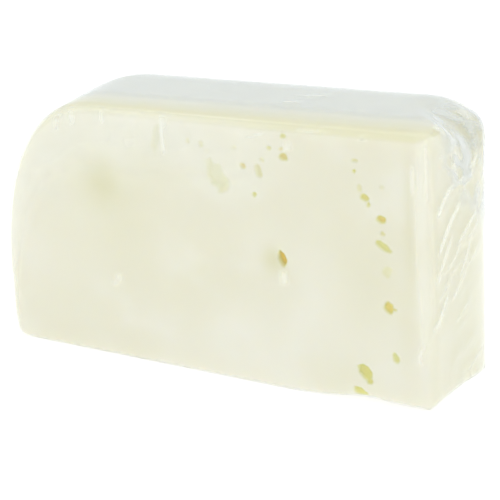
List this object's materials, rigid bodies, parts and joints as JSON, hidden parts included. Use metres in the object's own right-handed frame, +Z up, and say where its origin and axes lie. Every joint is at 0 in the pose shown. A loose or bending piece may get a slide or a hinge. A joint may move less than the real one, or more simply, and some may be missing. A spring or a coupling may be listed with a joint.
{
  "type": "cheese wedge",
  "caption": "Block-shaped wedge of pale, small-eyed cheese with a rounded rind, tightly wrapped in clear stretch film.",
  "frame": {"origin": "Middle of the underside of the wrapped wedge, on the surface it stands on.", "axes": "X runs along the long cut face, with the narrow cut face at +X. The long cut face looks towards -Y. Z is up."},
  "size_m": [0.1442, 0.0424, 0.0814],
  "materials": {
    "cheese_paste": "waxy, satin",
    "clear_film": "glossy, clear, slightly creased"
  },
  "bodies": {
    "root": {"cheese": "cheese_paste", "film_wrap": "clear_film"}
  },
  "joints": []
}
